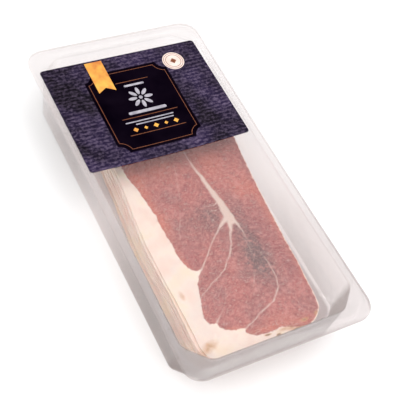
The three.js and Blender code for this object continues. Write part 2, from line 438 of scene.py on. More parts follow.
@dataclass(frozen=True)
class ClearSheet:
    """Clear plastic sheet, drawn or stretched thin: two glossy faces with a slight haze.

    The sheet is too thin to bend what is seen through it, so it passes light straight, less of it
    the flatter it is looked at, and mirrors more; how little it passes there is in part painted
    shade. Its flange, which isn't drawn, is the cloudiest. The tints also carry painted light and
    shade along the pack: clearer towards the far end, and on the flange darker towards the near end.

    Attributes:
        name: Name of the material.
        tint: What a face passes of the light that meets it head on.
        edge_tint: What it passes of the light that grazes it; dark enough to be in part painted shade.
        haze: Share of each face that scatters.
        haze_colour: Colour of that scatter.
        gloss_roughness: Roughness of the mirror.
        ripple_mm: Length of the uneven ripples that drawing left.
        ripple_height_mm: Their height.
        mirror_head_on: Share mirrored head on.
        painted_far_light_tint: Painted light: what a face passes at the far end of the pack.
        painted_far_light: How far the other tints go over to that one there, as painted light and shade.
        painted_far_light_mm: From where to where along the pack they do.
        flange_shade_tint: Painted shade: what a face of the flange passes head on at the near end.
        flange_haze: Share of each of its faces that scatters, on top of the haze.
        flange_mm: The heights between which a wall turns into the flange.
        flange_shade_mm: From where to where along the pack that painted shade comes in.
        cloud_mm: Size of the clouds in the haze.
    """

    name: str
    tint: str
    edge_tint: str
    haze: float
    haze_colour: str
    gloss_roughness: float
    ripple_mm: float
    ripple_height_mm: float
    mirror_head_on: float = 0.04
    painted_far_light_tint: str = "#fdfbfb"
    painted_far_light: float = 0.0
    painted_far_light_mm: Span = (-85.0, 35.0)
    flange_shade_tint: str = "#ffffff"
    flange_haze: float = 0.0
    flange_mm: Span = (34.5, 36.0)
    flange_shade_mm: Span = (-40.0, -120.0)
    cloud_mm: float = 35.0

    def passed(self, s: Shading, facing: bpy.types.NodeSocket, flange: bpy.types.NodeSocket,
               along: bpy.types.NodeSocket) -> bpy.types.Node:
        """Makes the light that the sheet passes.

        Args:
            s: The material's nodes.
            facing: How flat the face is looked at, from 0 head on to 1.
            flange: 1 on the flange and 0 below it.
            along: Place along the pack.

        Returns:
            The transparent shader.
        """
        # Painted shade: the flange darkens towards the near end of the pack.
        near = s.add("ShaderNodeMapRange", {0: along, 1: self.flange_shade_mm[0], 2: self.flange_shade_mm[1]}).outputs[0]
        flange_shade = s.add("ShaderNodeMath", {0: flange, 1: near}, operation="MULTIPLY").outputs[0]
        # Looked at flat, the sheet passes less: partly the longer path through it, partly painted shade.
        slant = s.add("ShaderNodeMapRange", {0: facing, 1: 0.3, 2: 0.85}).outputs[0]
        # Painted light and shade: every tint clears towards the far end of the pack and stays darker at the
        # near end.
        thin = s.add(
            "ShaderNodeMapRange",
            {0: along, 1: self.painted_far_light_mm[0], 2: self.painted_far_light_mm[1], 3: 0.0, 4: self.painted_far_light},
            interpolation_type="SMOOTHSTEP",
        ).outputs[0]
        tint = linear(self.tint)
        for strength, code in ((flange_shade, self.flange_shade_tint), (slant, self.edge_tint), (thin, self.painted_far_light_tint)):
            tint = s.add(
                "ShaderNodeMix", {0: strength, MIX_A: tint, MIX_B: linear(code)}, data_type="RGBA"
            ).outputs[MIX_RESULT]
        return s.add("ShaderNodeBsdfTransparent", {"Color": tint})

    def make(self) -> bpy.types.Material:
        """Makes the material."""
        s = Shading(self.name)
        ripple = s.add("ShaderNodeTexNoise", {"Vector": s.place, "Scale": 1 / self.ripple_mm, "Detail": 2.0})
        normal = s.add(
            "ShaderNodeBump",
            {"Height": ripple.outputs[0], "Distance": self.ripple_height_mm * MM, "Strength": 1.0},
        ).outputs[0]
        facing = s.add("ShaderNodeLayerWeight", {"Blend": 0.5, "Normal": normal}).outputs["Facing"]
        _, along, height = s.add("ShaderNodeSeparateXYZ", {0: s.place}).outputs
        flange = s.add(
            "ShaderNodeMapRange", {0: height, 1: self.flange_mm[0], 2: self.flange_mm[1]}
        ).outputs[0]
        grazing = s.add("ShaderNodeMath", {0: facing, 1: 5.0}, operation="POWER").outputs[0]
        mirror = s.add(
            "ShaderNodeMath",
            {0: grazing, 1: 1 - self.mirror_head_on, 2: self.mirror_head_on},
            operation="MULTIPLY_ADD",
        ).outputs[0]
        passed = self.passed(s, facing, flange, along)
        gloss = s.add(
            "ShaderNodeBsdfAnisotropic",
            {"Color": (1, 1, 1, 1), "Roughness": self.gloss_roughness, "Normal": normal},
        )
        clear = s.add("ShaderNodeMixShader", {0: mirror, 1: passed.outputs[0], 2: gloss.outputs[0]})
        scatter = s.add(
            "ShaderNodeBsdfPrincipled", {"Base Color": linear(self.haze_colour), "Roughness": 0.4}
        )
        cloud = s.add(
            "ShaderNodeTexNoise", {"Vector": s.place, "Scale": 1 / self.cloud_mm, "Detail": 3.0}
        ).outputs[0]
        haze = s.add(
            "ShaderNodeMapRange", {0: cloud, 1: 0.3, 2: 0.7, 3: self.haze * 0.6, 4: self.haze * 1.4}
        ).outputs[0]
        haze = s.add(
            "ShaderNodeMath", {0: flange, 1: self.flange_haze, 2: haze}, operation="MULTIPLY_ADD"
        ).outputs[0]
        return s.surface(
            s.add("ShaderNodeMixShader", {0: haze, 1: clear.outputs[0], 2: scatter.outputs[0]})
        )


@dataclass(frozen=True)
class CuredHam:
    """Dry-cured ham, sliced cold: lean with fibre and fine fat, creamy fat, a moist greasy sheen.

    The slices carry where their lean, seams and stains are as attributes, in millimetres from each
    edge, so that the edges stay crisp, and noise frays them as fibre does.
    """

    rose: str = "#ae5751"  # the lean, in clouds from this
    mauve: str = "#984f4d"  # to this
    deep: str = "#7f3236"  # its dark flecks and fibres
    fibre_fat: str = "#d69a91"  # its pale ones
    amber: str = "#cc6850"  # lean that has dried
    grey: str = "#573a3c"  # lean that air has dulled
    crimson: str = "#8a2e38"  # lean that has stayed raw red
    seam: str = "#d9bfb3"  # fat between and in the muscles
    fat: str = "#f3dfd2"  # fat under the rind
    fat_pink: str = "#ecc9bc"
    fat_warm: str = "#f0dabd"
    fat_grey: str = "#e2d3cb"
    tan: str = "#c79462"  # dried specks
    brown: str = "#70482c"  # the middle of the driest
    cloud_mm: float = 16.0
    mottle_mm: float = 3.0
    fray_mm: float = 1.3
    fibre_mm: Span = (4.2, 1.4)  # length and width
    fibre_lie: Span = (-52.0, 28.0)  # in degrees, in the left muscle and in the right one
    web_lie: float = -40.0  # in degrees
    layer_mm: Station = (40.0, 55.0, 1.6)
    relief_mm: float = 0.12

    def fibres(self, s: Shading) -> bpy.types.NodeSocket:
        """Adds the fibre, which lies one way in the left muscle and another in the right one."""
        length, width = self.fibre_mm
        ways = []
        for lie in self.fibre_lie:
            turned = s.add(
                "ShaderNodeMapping", {"Vector": s.place, "Rotation": (0, 0, math.radians(lie))}
            ).outputs[0]
            stretched = s.add(
                "ShaderNodeMapping", {"Vector": turned, "Scale": (1 / length, 1 / width, 0.2)}
            ).outputs[0]
            ways.append(
                s.add(
                    "ShaderNodeTexNoise",
                    {"Vector": stretched, "Scale": 1.0, "Detail": 4.0, "Roughness": 0.65, "Distortion": 1.9},
                ).outputs[0]
            )
        muscle = s.add("ShaderNodeAttribute", attribute_name="muscle").outputs["Fac"]
        return s.add("ShaderNodeMix", {0: muscle, 2: ways[0], 3: ways[1]}).outputs[0]

    def fine_fat(self, s: Shading, mottle: bpy.types.NodeSocket) -> bpy.types.NodeSocket:
        """Adds the fat between bundles of fibre: crooked lines where a noise crosses its middle."""
        crook = s.add(
            "ShaderNodeMapping",
            {"Vector": s.place, "Rotation": (0, 0, math.radians(self.web_lie)), "Scale": (0.22, 0.5, 0.2)},
        ).outputs[0]
        web = s.add(
            "ShaderNodeTexNoise",
            {"Vector": crook, "Scale": 1.0, "Detail": 3.0, "Roughness": 0.55, "Distortion": 0.8},
        ).outputs[0]
        away = s.add("ShaderNodeMath", {0: web, 1: 0.5}, operation="SUBTRACT").outputs[0]
        away = s.add("ShaderNodeMath", {0: away}, operation="ABSOLUTE").outputs[0]
        line = s.add("ShaderNodeMapRange", {0: away, 1: 0.0, 2: 0.04, 3: 1.0, 4: 0.0}).outputs[0]
        broken = s.add("ShaderNodeMapRange", {0: mottle, 1: 0.44, 2: 0.6}).outputs[0]
        return s.add("ShaderNodeMath", {0: line, 1: broken}, operation="MULTIPLY").outputs[0]

    def lean_colour(self, s: Shading, stains: bpy.types.NodeSocket, cloud: bpy.types.NodeSocket,
                    mottle: bpy.types.NodeSocket, fray: bpy.types.NodeSocket,
                    fibre: bpy.types.NodeSocket) -> bpy.types.NodeSocket:
        """Adds the colour of the lean: clouds, then stains, then flecks, fibres and fine fat.

        Args:
            s: The material's nodes.
            stains: Strength of each stain, one to a channel.
            cloud: The coarse pattern.
            mottle: The middling pattern.
            fray: The fine pattern.
            fibre: The pattern of the fibre.

        Returns:
            The colour.
        """
        colour = s.lay_over(linear(self.rose), ((cloud, 0.38, 0.62, 1.0, self.mauve),))
        weights = s.add("ShaderNodeSeparateColor", {0: stains}).outputs
        finishes = ((mottle, self.grey), (mottle, self.amber), (fray, self.crimson))
        for weight, (pattern, code) in zip(weights, finishes):
            uneven = s.add("ShaderNodeMapRange", {0: pattern, 1: 0.3, 2: 0.7, 3: 0.45, 4: 1.35}).outputs[0]
            strength = s.add(
                "ShaderNodeMath", {0: weight, 1: uneven}, operation="MULTIPLY", use_clamp=True
            ).outputs[0]
            colour = s.add(
                "ShaderNodeMix", {0: strength, MIX_A: colour, MIX_B: linear(code)}, data_type="RGBA"
            ).outputs[MIX_RESULT]
        return s.lay_over(
            colour,
            (
                (mottle, 0.50, 0.66, 0.48, self.deep),
                (mottle, 0.50, 0.35, 0.42, self.fibre_fat),
                (fibre, 0.47, 0.33, 0.42, self.deep),
                (fibre, 0.53, 0.68, 0.45, self.fibre_fat),
                (fray, 0.54, 0.72, 0.22, self.fibre_fat),
                (self.fine_fat(s, mottle), 0.0, 1.0, 0.55, self.seam),
            ),
        )

    def fat_colour(self, s: Shading, cloud: bpy.types.NodeSocket,
                   mottle: bpy.types.NodeSocket) -> bpy.types.NodeSocket:
        """Adds the colour of the fat: cream, pinker and warmer in clouds, greyer in some layers.

        The layers of the stack show at its sides as streaks much longer than they are high.
        """
        layered = s.add(
            "ShaderNodeMapping", {"Vector": s.place, "Scale": tuple(1 / length for length in self.layer_mm)}
        ).outputs[0]
        layer = s.add("ShaderNodeTexNoise", {"Vector": layered, "Scale": 1.0, "Detail": 2.0}).outputs[0]
        return s.lay_over(
            linear(self.fat),
            (
                (cloud, 0.45, 0.65, 0.6, self.fat_pink),
                (cloud, 0.48, 0.34, 0.6, self.fat_warm),
                (layer, 0.53, 0.68, 0.5, self.fat_grey),
                (layer, 0.45, 0.32, 0.4, self.fat_pink),
                (mottle, 0.55, 0.75, 0.4, self.fat_pink),
                (mottle, 0.45, 0.3, 0.35, self.fat_warm),
            ),
        )

    def make(self) -> bpy.types.Material:
        """Makes the material."""
        s = Shading("dry_cured_ham")
        lean_depth = s.add("ShaderNodeAttribute", attribute_name="lean_depth").outputs["Fac"]
        seam_gap = s.add("ShaderNodeAttribute", attribute_name="seam_gap").outputs["Fac"]
        stains = s.add("ShaderNodeAttribute", attribute_name="stains")
        patterns = ((self.cloud_mm, 4.0, 0.5), (self.mottle_mm, 5.0, 0.6), (self.fray_mm, 3.0, 0.5))
        cloud, mottle, fray = [
            s.add(
                "ShaderNodeTexNoise",
                {"Vector": s.place, "Scale": 1 / size, "Detail": detail, "Roughness": roughness},
            ).outputs[0]
            for size, detail, roughness in patterns
        ]
        fibre = self.fibres(s)

        # The edges of the lean and of its seams, moved to and fro by the finer patterns.
        rough = s.add("ShaderNodeMath", {0: fray, 1: 1.8, 2: -0.9}, operation="MULTIPLY_ADD").outputs[0]
        rougher = s.add("ShaderNodeMath", {0: mottle, 1: 2.4, 2: -1.2}, operation="MULTIPLY_ADD").outputs[0]
        shift = s.add("ShaderNodeMath", {0: rough, 1: rougher}, operation="ADD").outputs[0]
        depth = s.add("ShaderNodeMath", {0: lean_depth, 1: shift}, operation="ADD").outputs[0]
        lean = s.add(
            "ShaderNodeMapRange",
            {0: depth, 1: -0.5, 2: 0.6, 3: 0.0, 4: 1.0},
            interpolation_type="SMOOTHSTEP",
        ).outputs[0]
        gap = s.add("ShaderNodeMath", {0: shift, 1: 0.55, 2: seam_gap}, operation="MULTIPLY_ADD").outputs[0]
        seam = s.add(
            "ShaderNodeMapRange",
            {0: gap, 1: -0.75, 2: 0.3, 3: 1.0, 4: 0.0},
            interpolation_type="SMOOTHSTEP",
        ).outputs[0]

        # A thin seam comes and goes with the mottle, and a wide one is solid.
        solid = s.add("ShaderNodeMapRange", {0: gap, 1: -1.3, 2: -0.5, 3: 1.0, 4: 0.0}).outputs[0]
        faint = s.add("ShaderNodeMapRange", {0: mottle, 1: 0.4, 2: 0.58, 3: 0.3, 4: 0.9}).outputs[0]
        faint = s.add("ShaderNodeMath", {0: faint, 1: solid}, operation="MAXIMUM").outputs[0]
        strength = s.add("ShaderNodeMath", {0: seam, 1: faint}, operation="MULTIPLY").outputs[0]
        colour = self.lean_colour(s, stains.outputs["Color"], cloud, mottle, fray, fibre)
        meat = s.add(
            "ShaderNodeMix", {0: strength, MIX_A: colour, MIX_B: linear(self.seam)}, data_type="RGBA"
        ).outputs[MIX_RESULT]
        fat = self.fat_colour(s, cloud, mottle)
        both = s.add(
            "ShaderNodeMix", {0: lean, MIX_A: fat, MIX_B: meat}, data_type="RGBA"
        ).outputs[MIX_RESULT]

        # Dried specks, tan and brown in their middle.
        uneven = s.add("ShaderNodeMath", {0: mottle, 1: 0.9, 2: 0.45}, operation="MULTIPLY_ADD").outputs[0]
        spot = s.add(
            "ShaderNodeMath", {0: stains.outputs["Alpha"], 1: uneven}, operation="MULTIPLY"
        ).outputs[0]
        both = s.lay_over(both, ((spot, 0.25, 0.75, 0.75, self.tan), (spot, 0.75, 1.1, 0.75, self.brown)))

        roughness = s.add("ShaderNodeMapRange", {0: mottle, 1: 0.3, 2: 0.7, 3: 0.34, 4: 0.52}).outputs[0]
        relief = s.add("ShaderNodeMath", {0: fibre, 1: fray}, operation="ADD").outputs[0]
        normal = s.add(
            "ShaderNodeBump", {"Height": relief, "Distance": self.relief_mm * MM, "Strength": 0.7}
        ).outputs[0]
        return s.surface(
            s.add(
                "ShaderNodeBsdfPrincipled",
                {
                    "Base Color": both,
                    "Roughness": roughness,
                    "Normal": normal,
                    "IOR": 1.42,
                    "Subsurface Weight": 0.15,
                    "Subsurface Radius": (1.0, 0.4, 0.3),
                    "Subsurface Scale": 1.2 * MM,
                },
            )
        )


@dataclass(frozen=True)
class LabelPaper:
    """Satin label paper printed with a dark indigo ground that looks like coarse linen."""

    dark: str = "#0a0410"
    mid: str = "#2c2140"
    light: str = "#7a6a84"
    slub_mm: Span = (2.6, 1.9)
    row_mm: float = 3.2
    cloud_mm: float = 26.0

    def make(self) -> bpy.types.Material:
        """Makes the material."""
        s = Shading("satin_label_paper")
        stretched = s.add(
            "ShaderNodeMapping",
            {"Vector": s.place, "Scale": (1 / self.slub_mm[0], 1 / self.slub_mm[1], 1.0)},
        ).outputs[0]
        slub = s.add(
            "ShaderNodeTexNoise", {"Vector": stretched, "Scale": 1.0, "Detail": 4.0, "Roughness": 0.7}
        ).outputs[0]
        row = s.add(
            "ShaderNodeTexWave",
            {"Vector": s.place, "Scale": math.pi / 10 / self.row_mm, "Distortion": 2.5, "Detail": 2.0,
             "Detail Scale": 1.5},
            bands_direction="Y",
        ).outputs[0]
        cloud = s.add(
            "ShaderNodeTexNoise", {"Vector": s.place, "Scale": 1 / self.cloud_mm, "Detail": 4.0}
        ).outputs[0]
        level = s.add("ShaderNodeMapRange", {0: cloud, 1: 0.35, 2: 0.65}).outputs[0]
        ground = s.add(
            "ShaderNodeMix", {0: level, MIX_A: linear(self.dark), MIX_B: linear(self.mid)}, data_type="RGBA"
        ).outputs[MIX_RESULT]
        lifted = s.add("ShaderNodeMath", {0: row, 1: 0.10, 2: -0.05}, operation="MULTIPLY_ADD").outputs[0]
        woven = s.add("ShaderNodeMath", {0: slub, 1: lifted}, operation="ADD").outputs[0]
        thread = s.add("ShaderNodeMapRange", {0: woven, 1: 0.44, 2: 0.72, 3: 0.0, 4: 0.8}).outputs[0]
        worn = s.add("ShaderNodeMath", {0: level, 1: 0.55, 2: 0.4}, operation="MULTIPLY_ADD").outputs[0]
        thread = s.add("ShaderNodeMath", {0: thread, 1: worn}, operation="MULTIPLY").outputs[0]
        colour = s.add(
            "ShaderNodeMix", {0: thread, MIX_A: ground, MIX_B: linear(self.light)}, data_type="RGBA"
        ).outputs[MIX_RESULT]
        normal = s.add("ShaderNodeBump", {"Height": slub, "Distance": 0.02 * MM, "Strength": 0.5}).outputs[0]
        return s.surface(
            s.add(
                "ShaderNodeBsdfPrincipled",
                {"Base Color": colour, "Roughness": 0.5, "Specular IOR Level": 0.05, "Normal": normal},
            )
        )


@dataclass(frozen=True)
class PrintedInk:
    """Solid screen-printed ink: even, satin, with faint clouds where it lies thicker.

    Attributes:
        name: Name of the material.
        colour: Main colour.
        shade: Colour of the clouds.
        cloud_mm: Size of the clouds.
        roughness: Roughness of the dried ink.
        shine: Its specular level.
    """

    name: str
    colour: str
    shade: str
    cloud_mm: float = 14.0
    roughness: float = 0.4
    shine: float = 0.3

    def make(self) -> bpy.types.Material:
        """Makes the material."""
        s = Shading(self.name)
        cloud = s.add(
            "ShaderNodeTexNoise", {"Vector": s.place, "Scale": 1 / self.cloud_mm, "Detail": 3.0}
        ).outputs[0]
        colour = s.lay_over(linear(self.colour), ((cloud, 0.35, 0.7, 1.0, self.shade),))
        return s.surface(
            s.add(
                "ShaderNodeBsdfPrincipled",
                {"Base Color": colour, "Roughness": self.roughness, "Specular IOR Level": self.shine},
            )
        )


@dataclass(frozen=True)
class HotFoil:
    """Hot-stamped metal foil: a bright metal film pressed into the paper's tooth.

    Attributes:
        name: Name of the material.
        colour: Colour of the metal.
        shade: Its colour where the stamp pressed less.
        roughness: Roughness of the metal.
        tooth_mm: Grain of the paper's tooth.
    """

    name: str
    colour: str
    shade: str
    roughness: float = 0.38
    tooth_mm: float = 0.9

    def make(self) -> bpy.types.Material:
        """Makes the material."""
        s = Shading(self.name)
        tooth = s.add(
            "ShaderNodeTexNoise", {"Vector": s.place, "Scale": 1 / self.tooth_mm, "Detail": 3.0}
        ).outputs[0]
        colour = s.lay_over(linear(self.colour), ((tooth, 0.35, 0.7, 1.0, self.shade),))
        return s.surface(
            s.add(
                "ShaderNodeBsdfPrincipled",
                {"Base Color": colour, "Metallic": 0.7, "Roughness": self.roughness},
            )
        )


# ---- tray ----------------------------------------------------------------------------------------


@dataclass(frozen=True)
class RingLevel:
    """One sharp-cornered level of the tray's sheet, before its corners are rounded.

    Attributes:
        name: What the level is.
        width: Over its long sides.
        length: Over its ends.
        cut: How far each corner is chamfered: across, at the near end, at the far end.
        height: Above the table.
        soften: How far from each chamfer's vertex the rounding starts.
    """

    name: str
    width: float
    length: float
    cut: tuple[float, float, float]
    height: float
    soften: float

    def grown(self, name: str, grow: float, height: float) -> "RingLevel":
        """The same ring, larger all round and at another height."""
        return RingLevel(name, self.width + 2 * grow, self.length + 2 * grow, self.cut, height, self.soften)


@dataclass
class CavityTray:
    """Clear tray: one drawn sheet from the cavity's floor up its walls and out over the flange."""

    wall: float = 0.7
    mouth_size: tuple[float, float] = (128.0, 259.0)
    mouth_cut: tuple[float, float, float] = (15.0, 21.0, 21.0)
    floor_size: tuple[float, float] = (125.0, 254.0)
    floor_cut: tuple[float, float, float] = (15.5, 27.0, 23.0)
    flange_corner: float = 8.0
    soften: tuple[float, float, float] = (2.0, 4.0, 5.5)  # of the corners of floor, mouth and flange
    film_room: float = 0.79  # from the top of the label down to the flange
    lip_drop: float = 2.2
    lip_radius: float = 0.9
    foot_radius: float = 1.7
    mouth_radius: float = 1.0
    edge_bow: float = 1.4
    seal_groove: tuple[float, float, float] = (1.5, 2.2, 0.2)  # from the mouth, to, depth
    rim_groove: tuple[float, float, float] = (-2.9, -2.2, 0.2)  # from the edge, to, depth
    corner_steps: int = 5
    side_cuts: int = 11

    def levels(self) -> list[RingLevel]:
        """The sheet's levels from the floor to the foot of the lip."""
        low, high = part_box("tray")
        width, length = (high - low).x / MM, (high - low).y / MM
        width = round(width)  # before the bow, which draws the long sides in
        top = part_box("label")[1].z / MM - self.film_room
        floor = RingLevel("floor", *self.floor_size, self.floor_cut, self.wall, self.soften[0])
        mouth = RingLevel("mouth", *self.mouth_size, self.mouth_cut, top, self.soften[1])
        edge = RingLevel("edge", width, length, (self.flange_corner,) * 3, top, self.soften[2])
        levels = [floor, mouth]
        for i, (base, groove) in enumerate(((mouth, self.seal_groove), (edge, self.rim_groove))):
            start, end, depth = groove
            slope = depth * 1.2
            levels += [
                base.grown(f"groove_{i}_a", start - slope, top),
                base.grown(f"groove_{i}_b", start, top - depth),
                base.grown(f"groove_{i}_c", end, top - depth),
                base.grown(f"groove_{i}_d", end + slope, top),
            ]
        return [*levels, edge, edge.grown("lip", 0.0, top - self.lip_drop)]

    def ring(self, level: RingLevel, draft_height: float) -> bpy.types.Object:
        """Models the outline of one level: a plane with its corners bisected off and rounded.

        Args:
            level: Sizes of the level.
            draft_height: Where it stands until the levels are bridged.

        Returns:
            The outline, with all its vertices in a group named for the level.
        """
        bpy.ops.mesh.primitive_plane_add(size=1, location=(0, 0, draft_height * MM))
        plate = named(f"ring_{level.name}")
        plate.scale = (level.width * MM, level.length * MM, 1)
        settle(plate)
        edit(plate)
        across, near, far = level.cut
        for side in (-1, 1):
            for end, cut in ((-1, near), (1, far)):
                bpy.ops.mesh.select_all(action="SELECT")
                bpy.ops.mesh.bisect(
                    plane_co=(side * (level.width / 2 - across) * MM, end * level.length / 2 * MM, 0),
                    plane_no=(side * cut, end * across, 0),
                    clear_outer=True,
                    threshold=1e-6,
                )
        bpy.ops.mesh.select_all(action="SELECT")
        bpy.ops.mesh.bevel(
            offset=level.soften * MM, offset_type="OFFSET", segments=self.corner_steps, affect="VERTICES"
        )
        bpy.ops.mesh.delete(type="ONLY_FACE")
        pick(plate, "edges", lambda edge: edge.calc_length() > level.length * 0.6 * MM)
        bpy.ops.mesh.subdivide(number_cuts=self.side_cuts)
        bpy.ops.mesh.select_mode(type="VERT")
        bpy.ops.mesh.select_all(action="SELECT")
        bpy.ops.object.vertex_group_assign_new()
        done()
        plate.vertex_groups[-1].name = level.name
        return plate

    def take(self, tray: bpy.types.Object, *levels: RingLevel) -> None:
        """Selects, in edit mode, the edges of whole levels."""
        bpy.ops.mesh.select_mode(type="VERT")
        bpy.ops.mesh.select_all(action="DESELECT")
        for level in levels:
            tray.vertex_groups.active_index = tray.vertex_groups[level.name].index
            bpy.ops.object.vertex_group_select()
        bpy.ops.mesh.select_mode(type="EDGE")

    def round_off(self, tray: bpy.types.Object, level: str, radius: float, steps: int) -> None:
        """Rounds the sheet where it turns at a level.

        Args:
            tray: The tray in edit mode.
            level: Name of the level.
            radius: How far from the turn the rounding starts.
            steps: Facets of the rounding.
        """
        index = tray.vertex_groups[level].index
        work = bmesh.from_edit_mesh(tray.data)
        groups = work.verts.layers.deform.active
        pick(tray, "edges", lambda edge: all(vertex[groups].get(index, 0) > 0.99 for vertex in edge.verts))
        bpy.ops.mesh.bevel(offset=radius * MM, offset_type="OFFSET", segments=steps, affect="EDGES")

    def bow(self, points: np.ndarray) -> np.ndarray:
        """Draws the long sides in towards mid-length, most at the flange."""
        low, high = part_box("tray")
        half_length, half_width = high.y / MM, -low.x / MM
        share = 1 - np.clip(np.abs(points[:, 1]) / half_length, 0, 1) ** 2
        drawn = self.edge_bow * points[:, 2] / (high.z / MM) * share * points[:, 0] / half_width
        points[:, 0] -= drawn
        return points

    def build(self) -> bpy.types.Object:
        """Models the tray."""
        levels = self.levels()
        drafts = [10.0 * step for step in range(len(levels))]
        rings = [self.ring(level, draft) for level, draft in zip(levels, drafts)]
        tray = joined(rings, "cavity_tray")
        edit(tray, "VERT")
        for low, high in zip(levels[:-1], levels[1:]):
            self.take(tray, low, high)
            bpy.ops.mesh.bridge_edge_loops()
        self.take(tray, levels[0])
        bpy.ops.mesh.edge_face_add()
        done()
        heights = [level.height for level in levels]

        def press(points: np.ndarray) -> np.ndarray:
            """Brings every level from its draft height to its own."""
            points[:, 2] = np.interp(points[:, 2], drafts, heights)
            return points

        reshape(tray, press)
        edit(tray, "VERT")
        bpy.ops.mesh.normals_make_consistent(inside=False)
        self.round_off(tray, "floor", self.foot_radius, 5)
        self.round_off(tray, "mouth", self.mouth_radius, 3)
        self.round_off(tray, "edge", self.lip_radius, 3)
        bpy.ops.mesh.select_all(action="SELECT")
        bpy.ops.mesh.normals_make_consistent(inside=False)
        done()
        floor = max(tray.data.polygons, key=lambda face: face.area)
        if floor.normal.z > 0:
            edit(tray)
            bpy.ops.mesh.flip_normals()
            done()
        tray.vertex_groups.clear()
        reshape(tray, self.bow)
        finish_with(tray, "SOLIDIFY", thickness=self.wall * MM, offset=1.0, use_even_offset=True)
        smooth(tray)
        return tray

    def dress(self, tray: bpy.types.Object) -> None:
        """Gives the tray its clear sheet."""
        sheet = ClearSheet(
            name="clear_thermoformed_sheet",
            tint="#f9f6f6",
            # a warm grey for grazing light, in part painted shade
            edge_tint="#b6adaa",
            # painted light: the tray's tints clear towards its far end
            painted_far_light=0.85,
            # painted shade: the flange darkens towards the near end
            flange_shade_tint="#efebeb",
            flange_haze=0.13,
            haze=0.018,
            haze_colour="#dcd6d4",
            gloss_roughness=0.12,
            ripple_mm=17.0,
            ripple_height_mm=0.25,
        )
        hand_over(tray, sheet.make(), "clear_plastic", "tray")


# ---- ham -----------------------------------------------------------------------------------------


class Stain(Enum):
    """What a patch of the slice is tinted by, and the channel that holds it."""

    GREY = 0
    AMBER = 1
    CRIMSON = 2
    TAN = 3


@dataclass(frozen=True)
class Patch:
    """A soft oval patch on the slices.

    Attributes:
        stain: What it is.
        centre: Its middle, in plan.
        reach: Its half widths along its own two axes.
        turn: How its first axis is turned from +X, in degrees.
        weight: How strong it is at its middle.
    """

    stain: Stain
    centre: Place
    reach: Span
    turn: float
    weight: float

    def weigh(self, plan: np.ndarray) -> np.ndarray:
        """How strong the patch is at each point."""
        c, s = math.cos(math.radians(self.turn)), math.sin(math.radians(self.turn))
        away = plan - np.array(self.centre)
        own = np.column_stack([away @ (c, s), away @ (-s, c)]) / np.array(self.reach)
        return self.weight * np.exp(-(own**2).sum(axis=1))


